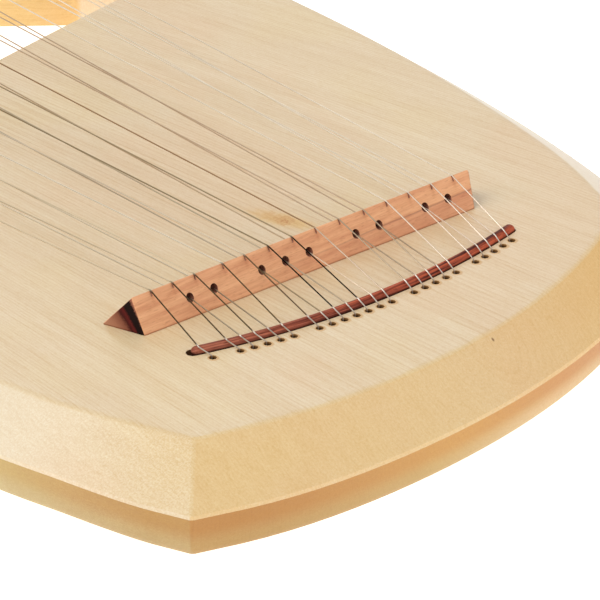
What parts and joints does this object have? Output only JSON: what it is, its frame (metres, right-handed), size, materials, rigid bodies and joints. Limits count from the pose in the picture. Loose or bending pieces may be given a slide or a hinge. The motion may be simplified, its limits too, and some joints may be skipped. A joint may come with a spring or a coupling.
{
  "type": "chromatic lyre",
  "caption": "Chromatic lyre with a carved bevelled soundbox, slanted yoke, notched bridge, high and low strings, and square-headed tuning pins.",
  "frame": {"origin": "on the flat back, under the middle of the bridge's ridge", "axes": "+Y from the bridge to the yoke, +Z out of the soundboard, +X to the treble side"},
  "size_m": [0.2731, 0.5248, 0.046],
  "materials": {
    "pale_wood": "satin",
    "back_wood": "satin",
    "arm_wood": "satin",
    "yoke_wood": "satin",
    "bridge_wood": "satin",
    "dark_wood": "polished",
    "brace_wood": "raw",
    "string_steel": "bright",
    "pin_steel": "satin"
  },
  "bodies": {
    "lyre": {"soundbox_body": "pale_wood", "back_plate": "back_wood", "bass_arm": "arm_wood", "yoke": "yoke_wood", "bridge": "bridge_wood", "string_rail": "dark_wood", "nut_bar": "dark_wood", "lower_brace": "brace_wood", "upper_brace": "brace_wood", "arm_foot_tenon": "brace_wood", "arm_head_tenon": "brace_wood", "treble_tenon": "brace_wood", "natural_string_01": "string_steel", "natural_string_02": "string_steel", "natural_string_03": "string_steel", "natural_string_04": "string_steel", "natural_string_05": "string_steel", "natural_string_06": "string_steel", "natural_string_07": "string_steel", "natural_string_08": "string_steel", "natural_string_09": "string_steel", "natural_string_10": "string_steel", "natural_string_11": "string_steel", "natural_string_12": "string_steel", "natural_string_13": "string_steel", "natural_string_14": "string_steel", "sharp_string_01": "string_steel", "sharp_string_02": "string_steel", "sharp_string_03": "string_steel", "sharp_string_04": "string_steel", "sharp_string_05": "string_steel", "sharp_string_06": "string_steel", "sharp_string_07": "string_steel", "sharp_string_08": "string_steel", "sharp_string_09": "string_steel"},
    "natural_pin_01": {"natural_pin_01": "pin_steel"},
    "natural_pin_02": {"natural_pin_02": "pin_steel"},
    "natural_pin_03": {"natural_pin_03": "pin_steel"},
    "natural_pin_04": {"natural_pin_04": "pin_steel"},
    "natural_pin_05": {"natural_pin_05": "pin_steel"},
    "natural_pin_06": {"natural_pin_06": "pin_steel"},
    "natural_pin_07": {"natural_pin_07": "pin_steel"},
    "natural_pin_08": {"natural_pin_08": "pin_steel"},
    "natural_pin_09": {"natural_pin_09": "pin_steel"},
    "natural_pin_10": {"natural_pin_10": "pin_steel"},
    "natural_pin_11": {"natural_pin_11": "pin_steel"},
    "natural_pin_12": {"natural_pin_12": "pin_steel"},
    "natural_pin_13": {"natural_pin_13": "pin_steel"},
    "natural_pin_14": {"natural_pin_14": "pin_steel"},
    "sharp_pin_01": {"sharp_pin_01": "pin_steel"},
    "sharp_pin_02": {"sharp_pin_02": "pin_steel"},
    "sharp_pin_03": {"sharp_pin_03": "pin_steel"},
    "sharp_pin_04": {"sharp_pin_04": "pin_steel"},
    "sharp_pin_05": {"sharp_pin_05": "pin_steel"},
    "sharp_pin_06": {"sharp_pin_06": "pin_steel"},
    "sharp_pin_07": {"sharp_pin_07": "pin_steel"},
    "sharp_pin_08": {"sharp_pin_08": "pin_steel"},
    "sharp_pin_09": {"sharp_pin_09": "pin_steel"}
  },
  "joints": [
    {"name": "natural_pin_01_turn", "type": "hinge", "parent": "lyre", "child": "natural_pin_01", "pos_m": [-0.09707, 0.39718, 0.028], "axis": [0, 0, -1], "range_deg": [-720, 45]},
    {"name": "natural_pin_02_turn", "type": "hinge", "parent": "lyre", "child": "natural_pin_02", "pos_m": [-0.08143, 0.38504, 0.028], "axis": [0, 0, -1], "range_deg": [-720, 45]},
    {"name": "natural_pin_03_turn", "type": "hinge", "parent": "lyre", "child": "natural_pin_03", "pos_m": [-0.06633, 0.3733, 0.028], "axis": [0, 0, -1], "range_deg": [-720, 45]},
    {"name": "natural_pin_04_turn", "type": "hinge", "parent": "lyre", "child": "natural_pin_04", "pos_m": [-0.05186, 0.36208, 0.028], "axis": [0, 0, -1], "range_deg": [-720, 45]},
    {"name": "natural_pin_05_turn", "type": "hinge", "parent": "lyre", "child": "natural_pin_05", "pos_m": [-0.03779, 0.35115, 0.028], "axis": [0, 0, -1], "range_deg": [-720, 45]},
    {"name": "natural_pin_06_turn", "type": "hinge", "parent": "lyre", "child": "natural_pin_06", "pos_m": [-0.02429, 0.34066, 0.028], "axis": [0, 0, -1], "range_deg": [-720, 45]},
    {"name": "natural_pin_07_turn", "type": "hinge", "parent": "lyre", "child": "natural_pin_07", "pos_m": [-0.0113, 0.33058, 0.028], "axis": [0, 0, -1], "range_deg": [-720, 45]},
    {"name": "natural_pin_08_turn", "type": "hinge", "parent": "lyre", "child": "natural_pin_08", "pos_m": [0.00116, 0.32091, 0.028], "axis": [0, 0, -1], "range_deg": [-720, 45]},
    {"name": "natural_pin_09_turn", "type": "hinge", "parent": "lyre", "child": "natural_pin_09", "pos_m": [0.0131, 0.31164, 0.028], "axis": [0, 0, -1], "range_deg": [-720, 45]},
    {"name": "natural_pin_10_turn", "type": "hinge", "parent": "lyre", "child": "natural_pin_10", "pos_m": [0.02448, 0.3028, 0.028], "axis": [0, 0, -1], "range_deg": [-720, 45]},
    {"name": "natural_pin_11_turn", "type": "hinge", "parent": "lyre", "child": "natural_pin_11", "pos_m": [0.03537, 0.29434, 0.028], "axis": [0, 0, -1], "range_deg": [-720, 45]},
    {"name": "natural_pin_12_turn", "type": "hinge", "parent": "lyre", "child": "natural_pin_12", "pos_m": [0.04575, 0.28629, 0.028], "axis": [0, 0, -1], "range_deg": [-720, 45]},
    {"name": "natural_pin_13_turn", "type": "hinge", "parent": "lyre", "child": "natural_pin_13", "pos_m": [0.05557, 0.27866, 0.028], "axis": [0, 0, -1], "range_deg": [-720, 45]},
    {"name": "natural_pin_14_turn", "type": "hinge", "parent": "lyre", "child": "natural_pin_14", "pos_m": [0.06489, 0.27142, 0.028], "axis": [0, 0, -1], "range_deg": [-720, 45]},
    {"name": "sharp_pin_01_turn", "type": "hinge", "parent": "lyre", "child": "sharp_pin_01", "pos_m": [-0.07211, 0.39683, 0.028], "axis": [0, 0, -1], "range_deg": [-720, 45]},
    {"name": "sharp_pin_02_turn", "type": "hinge", "parent": "lyre", "child": "sharp_pin_02", "pos_m": [-0.05706, 0.3851, 0.028], "axis": [0, 0, -1], "range_deg": [-720, 45]},
    {"name": "sharp_pin_03_turn", "type": "hinge", "parent": "lyre", "child": "sharp_pin_03", "pos_m": [-0.02858, 0.36291, 0.028], "axis": [0, 0, -1], "range_deg": [-720, 45]},
    {"name": "sharp_pin_04_turn", "type": "hinge", "parent": "lyre", "child": "sharp_pin_04", "pos_m": [-0.01514, 0.35244, 0.028], "axis": [0, 0, -1], "range_deg": [-720, 45]},
    {"name": "sharp_pin_05_turn", "type": "hinge", "parent": "lyre", "child": "sharp_pin_05", "pos_m": [-0.00225, 0.3424, 0.028], "axis": [0, 0, -1], "range_deg": [-720, 45]},
    {"name": "sharp_pin_06_turn", "type": "hinge", "parent": "lyre", "child": "sharp_pin_06", "pos_m": [0.02191, 0.32358, 0.028], "axis": [0, 0, -1], "range_deg": [-720, 45]},
    {"name": "sharp_pin_07_turn", "type": "hinge", "parent": "lyre", "child": "sharp_pin_07", "pos_m": [0.03316, 0.31482, 0.028], "axis": [0, 0, -1], "range_deg": [-720, 45]},
    {"name": "sharp_pin_08_turn", "type": "hinge", "parent": "lyre", "child": "sharp_pin_08", "pos_m": [0.05401, 0.2986, 0.028], "axis": [0, 0, -1], "range_deg": [-720, 45]},
    {"name": "sharp_pin_09_turn", "type": "hinge", "parent": "lyre", "child": "sharp_pin_09", "pos_m": [0.06359, 0.29115, 0.028], "axis": [0, 0, -1], "range_deg": [-720, 45]}
  ]
}
